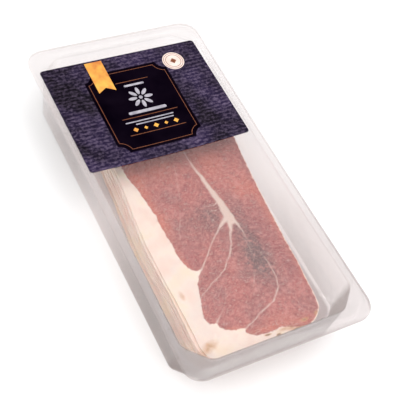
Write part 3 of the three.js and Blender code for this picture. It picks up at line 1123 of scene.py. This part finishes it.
@dataclass(frozen=True)
class Marbling:
    """Where the lean, the seams of fat and the stains of the ham lie, seen from above.

    Every slice was cut from one ham, so all share this, a little shifted from slice to slice.
    """

    # The lean's edge, from the far left corner down the left side, along the near end and, beyond
    # the slice, back up its right side. Two notches are where seams of fat come in.
    lean: tuple[Place, ...] = (
        (-31, 103), (-34, 80), (-35.5, 55), (-36, 30), (-34.5, 15), (-32, 0), (-31, -15), (-30.5, -30),
        (-30, -42), (-29.5, -52), (-27.5, -59), (-24, -62.6), (-20, -63.2), (-23.5, -66), (-27, -72),
        (-30, -80), (-33, -90), (-34.6, -97), (-33, -101), (-29, -102.2), (-28.5, -104.5), (-25, -108.5),
        (-19, -111.5), (-13.5, -112.6), (-14.5, -115.5), (-9, -119), (-2, -120.6), (6, -120.4),
        (12, -121.2), (19, -123.8), (26, -125.2), (33, -124), (45, -122), (62, -110), (62, 103),
        (45, 108), (0, 109),
    )
    rim: float = 0.5  # fat left all along the slice's own edge
    crook: tuple[Station, Station] = ((23, 12, 6.7), (0.25, 0.15, 0.1))  # of every line: waves and heights
    crook_seed: int = 11
    # Seams and veins, each by its stations: x, y and half width.
    seams: tuple[tuple[Station, ...], ...] = (
        ((10, 95, 0.2), (11.5, 62, 0.3), (12, 42, 0.3), (12.2, 27, 0.6), (13.2, 15, 1.3), (14.3, 5, 1.8),
         (15.7, -6, 2.3), (17, -16, 3.0), (17.5, -25, 3.3), (17.9, -31, 4.2), (18.2, -35, 3.2)),
        ((16, -31, 2.6), (11, -34.5, 1.8), (6, -38, 1.0), (1.5, -42, 0.8), (-4, -47, 0.7),
         (-10, -53, 0.7), (-15, -58.5, 0.7), (-19.5, -62.5, 1.0), (-24, -65.5, 1.2)),
        ((16.5, -35, 2.6), (14, -41, 1.5), (11, -47, 1.0), (8, -53, 0.8), (4, -58.5, 0.8), (0, -63, 0.7),
         (-4, -67, 0.6), (-9, -70.5, 0.6), (-15, -73.5, 0.6), (-21, -76.5, 0.5), (-27, -80, 0.5),
         (-31, -83, 0.4)),
        ((19.5, -34, 2.4), (21, -39, 1.4), (21.3, -45, 0.6), (22, -54, 0.35), (23, -60, 0.25),
         (24.5, -66, 0.2)),
        ((20.5, -47, 0.2), (20, -55, 0.3), (19.3, -62, 0.3), (19, -67, 0.1)),
        ((25.5, -65, 0.1), (26, -72, 0.6), (26.5, -79, 0.6), (25.5, -86, 0.6), (23, -92.5, 0.7),
         (18.5, -98, 0.8), (13, -101.8, 0.7), (7, -104.3, 0.8), (1.5, -106.2, 0.7), (-4, -109, 0.6),
         (-9, -111.2, 0.6), (-14, -113, 1.0)),
        ((26.8, -79, 0.3), (30, -75.5, 0.3), (33.5, -73.5, 0.1)),
        ((26.5, -85, 0.25), (30.5, -81, 0.25), (32, -78.5, 0.1)),
        ((0.8, 24, 0.2), (-2, 14, 0.3), (-5, 4, 0.2), (-8.5, -5, 0.2), (-12, -14, 0.2), (-17, -24, 0.35),
         (-21, -32, 0.3), (-23.5, -41, 0.1)),
        ((-30, -102.6, 0.9), (-25, -99.5, 0.6), (-22, -97, 0.3), (-18, -92, 0.2), (-13, -85, 0.25),
         (-9, -79, 0.1)),
        ((14, -74, 0.1), (12, -80, 0.35), (9, -84, 0.3), (5, -88.5, 0.2)),
        ((-11, -78, 0.1), (-15, -81.5, 0.3), (-19, -85, 0.15)),
        ((-6.5, -74, 0.2), (-3.5, -75.2, 0.5), (-0.5, -76.5, 0.1)),
        ((28, -97, 0.1), (33, -100, 0.25), (38, -105, 0.2), (42, -108, 0.1)),
        ((18, -106, 0.1), (27, -108.5, 0.25), (36, -114, 0.2), (40, -118, 0.1)),
        ((15, -17.5, 0.8), (11.5, -18.8, 0.6), (8, -18.6, 0.5), (4.5, -17, 0.4), (2, -14.5, 0.2)),
        ((12, -23.5, 0.7), (8.5, -22.6, 0.5), (5.5, -24, 0.3), (3.5, -27, 0.15)),
        ((4.5, -28, 0.2), (6, -30.5, 0.5), (7.5, -34, 0.2)),
    )
    patches: tuple[Patch, ...] = (
        Patch(Stain.GREY, (22, -58), (8, 22), 4, 0.85),
        Patch(Stain.GREY, (18, -72), (11, 14), 0, 0.8),
        Patch(Stain.GREY, (27, -44), (8, 24), 8, 0.45),
        Patch(Stain.GREY, (8, -26), (8, 9), 0, 0.45),
        Patch(Stain.GREY, (1, -27), (11, 16), -35, 0.35),
        Patch(Stain.GREY, (-12, -25), (6, 12), -35, 0.2),
        Patch(Stain.AMBER, (-31, 8), (5, 26), 0, 0.75),
        Patch(Stain.AMBER, (-17, 24), (16, 14), 0, 0.5),
        Patch(Stain.AMBER, (22, 18), (20, 20), 0, 0.25),
        Patch(Stain.AMBER, (-28, -22), (5, 13), 0, 0.7),
        Patch(Stain.AMBER, (-28, -52), (3, 8), 0, 0.7),
        Patch(Stain.AMBER, (-33, -90), (2, 9), 18, 0.5),
        Patch(Stain.AMBER, (-22, -110), (7, 2), -18, 0.7),
        Patch(Stain.AMBER, (-6, 24), (6, 3), 0, 0.4),
        Patch(Stain.AMBER, (28, 14), (10, 12), 0, 0.35),
        Patch(Stain.AMBER, (38, -12), (9, 9), 20, 0.6),
        Patch(Stain.AMBER, (47.5, -30), (3, 30), 2, 0.55),
        Patch(Stain.AMBER, (47, -90), (3, 26), 2, 0.6),
        Patch(Stain.AMBER, (0, -117.5), (13, 3), -4, 0.85),
        Patch(Stain.AMBER, (24, -121), (12, 3), -8, 0.8),
        Patch(Stain.AMBER, (12, -113), (16, 4), -10, 0.35),
        Patch(Stain.CRIMSON, (6, 9.5), (3.2, 2.2), 0, 1.0),
        Patch(Stain.CRIMSON, (-0.5, 1), (2.6, 3.2), 0, 0.8),
        Patch(Stain.CRIMSON, (11.8, -14), (1.6, 3.2), 0, 1.1),
        Patch(Stain.CRIMSON, (12, -3), (1.2, 6), 5, 0.7),
        Patch(Stain.CRIMSON, (5, -15), (3.5, 1.4), 20, 0.75),
        Patch(Stain.CRIMSON, (-3, -28), (1.4, 2.4), 0, 0.4),
        Patch(Stain.CRIMSON, (-22, -51), (6, 9), 0, 0.6),
        Patch(Stain.CRIMSON, (34, -46), (10, 20), 6, 0.5),
        Patch(Stain.CRIMSON, (39, -78), (7, 18), 0, 0.5),
        Patch(Stain.CRIMSON, (-27, 24), (4, 3), 0, 0.35),
        Patch(Stain.CRIMSON, (-31, -99), (3, 3), 0, 0.3),
        Patch(Stain.CRIMSON, (41, 18), (5, 4), 0, 0.25),
        Patch(Stain.TAN, (12, -122.5), (7, 1.6), -8, 0.9),
        Patch(Stain.TAN, (27, -120.5), (4, 1.4), 0, 1.1),
        Patch(Stain.TAN, (22, -125.3), (6, 1.1), -4, 1.5),
        Patch(Stain.TAN, (5.5, -124.3), (1.6, 1.0), 0, 1.9),
        Patch(Stain.TAN, (-1.3, -121.9), (2.4, 0.8), 0, 1.6),
        Patch(Stain.TAN, (38, -119), (3, 1.5), 40, 0.8),
        Patch(Stain.TAN, (-41, -115.5), (9, 4), 15, 0.85),
        Patch(Stain.TAN, (-41, -76), (2.5, 5), 0, 0.65),
        Patch(Stain.TAN, (-41, -44), (1.6, 5), 0, 0.4),
        Patch(Stain.TAN, (-39, 0), (1.5, 10), 0, 0.3),
    )

    def paint(self, piece: bpy.types.Object, edge: np.ndarray, shift: np.ndarray, whole: bool) -> None:
        """Writes the pattern on a slice as attributes, in millimetres from each edge.

        Args:
            piece: The finished slice.
            edge: The slice's own outline in plan.
            shift: How far the pattern is moved on this slice.
            whole: Whether its face shows, and so has its seams.
        """
        plan = points_of(piece)[:, :2]
        own = plan - shift
        crooks = [
            wander(own[:, 1 - axis] + 0.6 * own[:, axis], self.crook_seed + axis, *self.crook)
            for axis in (0, 1)
        ]
        own = own + np.column_stack(crooks)
        lean = depth_inside(own, smooth_path([*self.lean, self.lean[0]], 3)[:-1])
        rim = depth_inside(plan, edge) - self.rim
        seam = np.full(len(plan), 9.0)
        for path in self.seams if whole else ():
            seam = np.minimum(seam, distance_to_path(own, smooth_path(path, 3)))
        trunk = smooth_path(self.seams[0] + self.seams[5][1:], 3)
        order = np.argsort(trunk[:, 1])
        middle = np.interp(own[:, 1], trunk[order, 1], trunk[order, 0])
        fields = {
            "lean_depth": np.minimum(lean, rim),
            "seam_gap": seam,
            "muscle": 1 / (1 + np.exp(-(own[:, 0] - middle) / 2.5)),
        }
        for name, values in fields.items():
            attribute = piece.data.attributes.new(name, "FLOAT", "POINT")
            attribute.data.foreach_set("value", values.astype(np.float32))
        stains = np.zeros((len(plan), 4), np.float32)
        for patch in self.patches:
            stains[:, patch.stain.value] += patch.weigh(own)
        attribute = piece.data.attributes.new("stains", "FLOAT_COLOR", "POINT")
        attribute.data.foreach_set("color", np.clip(stains, 0, 1.5).ravel())


@dataclass
class HamStack:
    """The stack of slices, each refined from its own sheet of the frame."""

    count: int = 18
    columns: int = 7
    top_cell: float = 0.8
    bottom_cell: float = 1.3
    hidden_cell: float = 2.2
    thickness: float = 1.16
    lowest_thickness: float = 0.9
    edge_round: float = 0.16
    spread: tuple[Span, Span] = ((0.0, 1.3), (-1.2, 0.0))  # how the edges are moved: left, right; near, far
    fray_falls: Span = (16.0, 30.0)  # how fast that fades inwards, across and along
    fray_mm: tuple[tuple[float, ...], tuple[float, ...]] = ((61, 27, 13, 6.2), (0.16, 0.1, 0.07, 0.05))
    ripple_lift: float = 0.25
    slip: float = 1.2
    slip_seed: int = 7

    def slice_piece(self, number: int) -> tuple[bpy.types.Object, np.ndarray]:
        """Models one slice.

        Args:
            number: Its number from the bottom of the stack.

        Returns:
            The slice and its outline in plan.
        """
        sheet = PackedSheet.read(f"slice_{number:02d}", self.columns)
        topmost, lowest = number == self.count, number == 1
        cell = self.top_cell if topmost else self.bottom_cell if lowest else self.hidden_cell
        piece, shares = sheet.sheet_piece(f"ham_slice_{number:02d}", cell)

        def fray(points: np.ndarray) -> np.ndarray:
            """Makes the outline uneven and, on the top slice, raises faint ripples."""
            for axis in (0, 1):
                other = points[:, 1 - axis]
                for side in (0, 1):
                    near_edge = np.clip(1 - np.abs(shares[:, axis] - side) * self.fray_falls[axis], 0, 1) ** 2
                    uneven = wander(other, number * 4 + axis * 2 + side, *self.fray_mm)
                    points[:, axis] += near_edge * (uneven + self.spread[axis][side])
            if topmost:
                ripple = wander(points[:, 0] + 0.4 * points[:, 1], 5, (23, 13, 7.5), (0.1, 0.06, 0.03))
                ripple += wander(points[:, 1] - 0.5 * points[:, 0], 6, (31, 17, 9), (0.1, 0.07, 0.03))
                points[:, 2] += self.ripple_lift + ripple
            return points

        reshape(piece, fray)
        thickness = self.lowest_thickness if lowest else self.thickness
        outline = self.outline_of(piece, shares)
        finish_with(piece, "SOLIDIFY", thickness=thickness * MM, offset=-1.0)
        finish_with(
            piece, "BEVEL", width=self.edge_round * MM, segments=2, limit_method="ANGLE",
            angle_limit=math.radians(55),
        )
        smooth(piece, 60)
        return piece, outline

    def outline_of(self, piece: bpy.types.Object, shares: np.ndarray) -> np.ndarray:
        """The outline of a sheet in plan, counter-clockwise, from its grid's outer vertices."""
        plan = points_of(piece)[:, :2]
        inside = np.abs(shares - 0.5)
        rim = np.flatnonzero(inside.max(axis=1) > 0.5 - 1e-6)
        angle = np.arctan2(shares[rim, 1] - 0.5, shares[rim, 0] - 0.5)
        loop = plan[rim[np.argsort(angle)]]
        return loop[:: max(1, len(loop) // 180)]

    def build(self) -> list[tuple[bpy.types.Object, np.ndarray]]:
        """Models all slices, from the bottom up."""
        return [self.slice_piece(number) for number in range(1, self.count + 1)]

    def dress(self, slices: list[tuple[bpy.types.Object, np.ndarray]]) -> None:
        """Paints the pattern on every slice and gives all the one ham finish."""
        ham = CuredHam().make()
        marbling = Marbling()
        slips = np.random.default_rng(self.slip_seed).normal(0, self.slip, (self.count, 2))
        slips[-1] = 0
        for number, (piece, outline) in enumerate(slices, 1):
            marbling.paint(piece, outline, slips[number - 1], number in (1, self.count))
            hand_over(piece, ham, "cured_ham", f"slice_{number:02d}")


# ---- lidding film --------------------------------------------------------------------------------


@dataclass
class LiddingFilm:
    """Clear film sealed to the flange, slack over the cavity, with faint draws near its corners."""

    columns: int = 11
    cell: float = 2.0
    thickness: float = 0.25
    draw_height: float = 0.12
    sealed_width: float = 6.0
    slack_width: float = 12.0  # over which the film goes slack, inwards from the seal
    corner_reach: float = 60.0  # how far the creases run out of the corners

    def build(self) -> bpy.types.Object:
        """Models the film."""
        sheet = PackedSheet.read("lid_film", self.columns)
        film, _ = sheet.sheet_piece("lidding_film", self.cell)
        half_width, half_length = np.abs(sheet.rows[:, :, :2]).max(axis=(0, 1))

        def draw(points: np.ndarray) -> np.ndarray:
            """Lowers the slack film in faint creases that run out of its corners."""
            x, y = points[:, 0], points[:, 1]
            edge = np.minimum(half_width - np.abs(x), half_length - np.abs(y)) - self.sealed_width
            slack = np.clip(edge / self.slack_width, 0, 1)
            away = (half_width - np.abs(x)) ** 2 + (half_length - np.abs(y)) ** 2
            corner = np.exp(-away / self.corner_reach**2)
            across = np.abs(x) - np.abs(y) * 0.8
            crease = np.abs(wander(across, 3, (19, 11), (0.7, 0.5)))
            points[:, 2] -= self.draw_height * slack * (1 + 2.5 * corner) * crease
            return points

        reshape(film, draw)
        finish_with(film, "SOLIDIFY", thickness=self.thickness * MM, offset=-1.0)
        smooth(film)
        return film

    def dress(self, film: bpy.types.Object) -> None:
        """Gives the film its clear finish."""
        sheet = ClearSheet(
            name="clear_lidding_film",
            tint="#fefefe",
            edge_tint="#f1eeee",
            haze=0.01,
            haze_colour="#f6f3f3",
            gloss_roughness=0.08,
            ripple_mm=28.0,
            ripple_height_mm=0.12,
        )
        hand_over(film, sheet.make(), "lid_plastic", "lid_film")


# ---- label ---------------------------------------------------------------------------------------


class Corner(Enum):
    """How the corners of a printed shape are cut, as the profile of their bevel."""

    ROUND = 0.5
    SCOOPED = 0.12


@dataclass
class PrintedLabel:
    """Dark label with a near-black panel, copper rules, an amber ribbon and a pale round seal.

    Everything printed lies a hair above the paper and follows the film's slack.
    """

    columns: int = 11
    cell: float = 2.5
    thickness: float = 0.22
    ink: float = 0.035
    strip: float = 4.0
    panel_centre: Place = (-5.0, 69.0)
    panel_size: Place = (66.0, 74.0)
    panel_corner: float = 7.0
    keyline: float = 0.42
    keyline_inset: float = 2.2
    ribbon: tuple[float, float, float, float] = (-31.0, -17.5, 88.0, 117.5)  # left, right, low, high
    seal_centre: Place = (36.0, 103.0)
    seal_radius: float = 8.5

    def __post_init__(self) -> None:
        """Reads the label's own sheet from the frame."""
        self.sheet = PackedSheet.read("label", self.columns)
        self.lower = self.ink * 2.4

    def plate(self, name: str, centre: Place, size: Place, corner: float = 0.0,
              cut: Corner = Corner.ROUND, steps: int = 4) -> bpy.types.Object:
        """Models a flat printed shape from a plane.

        Args:
            name: Name of the shape.
            centre: Its middle.
            size: Its width and length.
            corner: How far its corners are cut, 0 for none.
            cut: How they are cut.
            steps: Facets of each corner.

        Returns:
            The flat shape.
        """
        bpy.ops.mesh.primitive_plane_add(size=1, location=(centre[0] * MM, centre[1] * MM, 0))
        shape = named(name)
        shape.scale = (size[0] * MM, size[1] * MM, 1)
        settle(shape)
        if corner:
            edit(shape, "VERT")
            bpy.ops.mesh.bevel(
                offset=corner * MM, offset_type="OFFSET", segments=steps, profile=cut.value,
                affect="VERTICES",
            )
            done()
        return shape

    def outline_only(self, shape: bpy.types.Object, width: float) -> None:
        """Insets a flat shape and keeps only the band along its edge."""
        edit(shape)
        bpy.ops.mesh.inset(thickness=width * MM, depth=0)
        bpy.ops.mesh.delete(type="FACE")
        done()

    def disc(self, name: str, centre: Place, radius: float, sides: int = 48) -> bpy.types.Object:
        """Models a flat round shape."""
        bpy.ops.mesh.primitive_circle_add(
            vertices=sides, radius=radius * MM, fill_type="NGON", location=(centre[0] * MM, centre[1] * MM, 0)
        )
        shape = named(name)
        settle(shape)
        return shape

    def lay(self, shape: bpy.types.Object, lift: float) -> bpy.types.Object:
        """Cuts a flat shape into strips, thickens it and lays it on the paper.

        Args:
            shape: The flat shape, at the height of 0.
            lift: How many layers of ink it stands above the paper.

        Returns:
            The finished shape.
        """
        plan = points_of(shape)
        edit(shape)
        for axis in (0, 1):
            low, high = plan[:, axis].min(), plan[:, axis].max()
            for place in np.arange(low + self.strip, high - self.strip / 3, self.strip):
                bpy.ops.mesh.select_all(action="SELECT")
                normal = Vector((1 - axis, axis, 0))
                bpy.ops.mesh.bisect(plane_co=normal * place * MM, plane_no=normal, threshold=1e-6)
        bpy.ops.mesh.select_all(action="SELECT")
        bpy.ops.mesh.normals_make_consistent(inside=False)
        done()
        if np.mean([face.normal.z for face in shape.data.polygons]) < 0:
            edit(shape)
            bpy.ops.mesh.flip_normals()
            done()
        finish_with(shape, "SOLIDIFY", thickness=self.ink * MM, offset=1.0)

        def drape(points: np.ndarray) -> np.ndarray:
            """Drops the shape onto the paper."""
            paper = self.sheet.height(points[:, 0], points[:, 1]) - self.lower
            points[:, 2] += paper + lift * self.ink * 0.7
            return points

        reshape(shape, drape)
        smooth(shape)
        return shape

    def build_paper(self) -> bpy.types.Object:
        """Models the label's paper."""
        paper, _ = self.sheet.sheet_piece("label_paper", self.cell)

        def lower(points: np.ndarray) -> np.ndarray:
            """Leaves room for the ink below the label's top."""
            points[:, 2] -= self.lower
            return points

        reshape(paper, lower)
        finish_with(paper, "SOLIDIFY", thickness=self.thickness * MM, offset=-1.0)
        smooth(paper)
        return paper

    def build_panel(self) -> tuple[bpy.types.Object, bpy.types.Object]:
        """Models the panel with scooped corners, and the copper keyline just inside its edge."""
        corners = (self.panel_corner, Corner.SCOOPED, 8)
        panel = self.plate("label_panel", self.panel_centre, self.panel_size, *corners)
        inner = tuple(side - 2 * self.keyline_inset for side in self.panel_size)
        keyline = self.plate("label_keyline", self.panel_centre, inner, *corners)
        self.outline_only(keyline, self.keyline)
        return self.lay(panel, 0), self.lay(keyline, 1)

    def build_ribbon(self) -> bpy.types.Object:
        """Models the amber ribbon that hangs from the far edge, its end cut to a swallowtail."""
        left, right, low, high = self.ribbon
        centre = ((left + right) / 2, (low + high) / 2)
        ribbon = self.plate("label_ribbon", centre, (right - left, high - low))
        edit(ribbon)
        bpy.ops.mesh.bisect(plane_co=(centre[0] * MM, 0, 0), plane_no=(1, 0, 0), threshold=1e-6)
        pick(ribbon, "verts", lambda v: abs(v.co.x - centre[0] * MM) < 1e-5 and v.co.y < centre[1] * MM)
        bpy.ops.transform.translate(value=(0, (right - left) * 0.3 * MM, 0))
        done()
        return self.lay(ribbon, 1)

    def build_rosette(self) -> bpy.types.Object:
        """Models the pale eight-petalled rosette: one petal, copied round, and a round heart."""
        centre = (self.panel_centre[0] + 2, self.panel_centre[1] + 8)
        pivot = Vector((centre[0] * MM, centre[1] * MM, 0))
        petals = []
        for turn in range(8):
            petal = self.disc(f"petal_{turn}", (centre[0], centre[1] + 6.2), 3.4, 14)
            edit(petal, "VERT")
            bpy.ops.transform.resize(
                value=(0.42, 1, 1), center_override=(pivot.x, pivot.y + 6.2 * MM, 0)
            )
            done()
            turned = Matrix.Rotation(turn * math.pi / 4, 4, "Z")
            petal.data.transform(Matrix.Translation(pivot) @ turned @ Matrix.Translation(-pivot))
            petals.append(petal)
        heart = self.disc("heart", centre, 1.5, 20)
        return self.lay(joined([*petals, heart], "label_rosette"), 1)

    def build_rules(self) -> tuple[bpy.types.Object, bpy.types.Object, bpy.types.Object]:
        """Models the copper rules, the row of amber lozenges between them, and the pale bars."""
        x, y = self.panel_centre[0] + 2, self.panel_centre[1]
        rules = [
            self.plate(f"rule_{i}", (x, y + rise), (width, 0.5))
            for i, (rise, width) in enumerate(((-8.5, 44), (-23.5, 44), (24.5, 26)))
        ]
        bars = [
            self.plate(f"bar_{i}", (x + slip, y + rise), (width, height), height * 0.45)
            for i, (slip, rise, width, height) in enumerate(
                ((0, -4.5, 30, 2.6), (-2, -12.2, 38, 1.0), (1, -14.8, 30, 1.0), (0, 20.6, 16, 1.8))
            )
        ]
        lozenges = [
            self.disc(f"lozenge_{i}", (x + (i - 2) * 8.0, y - 19.2), 1.5 if i % 2 else 2.1, 4)
            for i in range(5)
        ]
        return (
            self.lay(joined(rules, "label_rules"), 1),
            self.lay(joined(lozenges, "label_lozenges"), 1),
            self.lay(joined(bars, "label_bars"), 1),
        )

    def build_seal(self) -> tuple[bpy.types.Object, bpy.types.Object]:
        """Models the pale round seal and the copper rings on it."""
        seal = self.disc("label_seal", self.seal_centre, self.seal_radius)
        rings = []
        for share in (0.9, 0.72):
            ring = self.disc(f"ring_{share}", self.seal_centre, self.seal_radius * share)
            self.outline_only(ring, 0.35)
            rings.append(ring)
        rings.append(self.disc("seal_heart", self.seal_centre, 2.6, 4))
        return self.lay(seal, 0), self.lay(joined(rings, "label_seal_rings"), 1)

    def build(self) -> dict[str, bpy.types.Object]:
        """Models the paper and everything printed on it."""
        paper = self.build_paper()
        panel, keyline = self.build_panel()
        rules, lozenges, bars = self.build_rules()
        seal, rings = self.build_seal()
        return {
            "paper": paper, "panel": panel, "keyline": keyline, "ribbon": self.build_ribbon(),
            "rosette": self.build_rosette(), "rules": rules, "lozenges": lozenges, "bars": bars,
            "seal": seal, "rings": rings,
        }

    def dress(self, pieces: dict[str, bpy.types.Object]) -> None:
        """Gives the paper and each print its finish."""
        hand_over(pieces["paper"], LabelPaper().make(), "label_paper", "label")
        foil = HotFoil("copper_hot_foil", "#9a5c3e", "#643824").make()
        pale = PrintedInk("pale_grey_ink", "#b9b4bd", "#8d8894", 4.0).make()
        amber = PrintedInk("amber_ink", "#f4b64e", "#cf7a34", 9.0).make()
        finishes = {
            "panel": PrintedInk("near_black_ink", "#06020a", "#100914", 22.0, 0.5, 0.0).make(),
            "keyline": foil, "rules": foil, "rings": foil, "ribbon": amber, "lozenges": amber,
            "rosette": pale, "bars": pale,
            "seal": PrintedInk("pale_seal_paper", "#f3dfd6", "#e8cfc4", 6.0).make(),
        }
        for key, finish in finishes.items():
            hand_over(pieces[key], finish, "label_paper")


# ---- studio --------------------------------------------------------------------------------------


@dataclass(frozen=True)
class SoftLamp:
    """A square soft lamp that points at the pack.

    Attributes:
        name: Name of the lamp.
        azimuth: Its direction from the pack, in degrees from +X towards +Y.
        elevation: Its height above the table, in degrees.
        distance: How far away it is, in metres.
        size: Its side, in metres.
        power: In watts.
    """

    name: str
    azimuth: float
    elevation: float
    distance: float
    size: float
    power: float

    def build(self) -> None:
        """Adds the lamp."""
        turn = Euler((0, -math.radians(self.elevation), math.radians(self.azimuth)), "XYZ")
        place = turn.to_matrix() @ Vector((self.distance, 0, 0))
        bpy.ops.object.light_add(type="AREA", location=place)
        lamp = bpy.context.active_object
        lamp.name = self.name
        lamp.data.shape = "SQUARE"
        lamp.data.size = self.size
        lamp.data.energy = self.power
        lamp.rotation_euler = (-place).to_track_quat("-Z", "Y").to_euler()


@dataclass
class Studio:
    """White paper, a bright even surround and three large soft lamps: right, left and near."""

    camera_place: tuple[float, float, float] = (-0.25865, -0.30522, 0.52798)
    camera_azimuth: float = 41.902
    camera_elevation: float = 52.04
    camera_roll: float = 18.928
    camera_lens: float = 82.65
    floor_size: float = 8.0
    surround: float = 1.0
    lamps: tuple[SoftLamp, ...] = (
        SoftLamp("key_lamp", -12, 66, 1.6, 1.0, 4.0),
        SoftLamp("fill_lamp", 172, 60, 1.6, 1.0, 3.0),
        SoftLamp("near_lamp", -95, 45, 1.6, 1.0, 4.5),
    )

    def build_camera(self) -> None:
        """Places the camera as the photograph's."""
        bpy.ops.object.camera_add(location=self.camera_place)
        camera = bpy.context.active_object
        camera.name = "camera"
        turn = Euler((math.radians(90 - self.camera_elevation), 0, -math.radians(self.camera_azimuth)), "XYZ")
        roll = Matrix.Rotation(math.radians(self.camera_roll), 3, "Z")
        camera.rotation_euler = (turn.to_matrix() @ roll).to_euler()
        camera.data.lens = self.camera_lens
        camera.data.clip_start = 0.01
        bpy.context.scene.camera = camera

    def build_floor(self) -> None:
        """Lays the white paper just under the pack."""
        bpy.ops.mesh.primitive_plane_add(size=self.floor_size, location=(0, 0, -0.2 * MM))
        floor = named("studio_floor")
        floor.data.materials.append(StudioPaper().make())

    def build_light(self) -> None:
        """Adds the surround and the lamps."""
        world = bpy.data.worlds.new("surround")
        world.use_nodes = True
        background = world.node_tree.nodes["Background"]
        background.inputs["Color"].default_value = (1, 1, 1, 1)
        background.inputs["Strength"].default_value = self.surround
        bpy.context.scene.world = world
        for lamp in self.lamps:
            lamp.build()

    def build(self) -> None:
        """Sets up the whole studio."""
        self.build_camera()
        self.build_floor()
        self.build_light()
        scene = bpy.context.scene
        scene.view_settings.view_transform = "Standard"
        scene.cycles.transparent_max_bounces = 24


def main() -> None:
    """Builds the studio and the pack."""
    logging.basicConfig(level=logging.INFO, format="%(name)s: %(message)s")
    Studio().build()
    for part in (CavityTray(), HamStack(), LiddingFilm(), PrintedLabel()):
        part.dress(part.build())


if __name__ == "__main__":
    main()
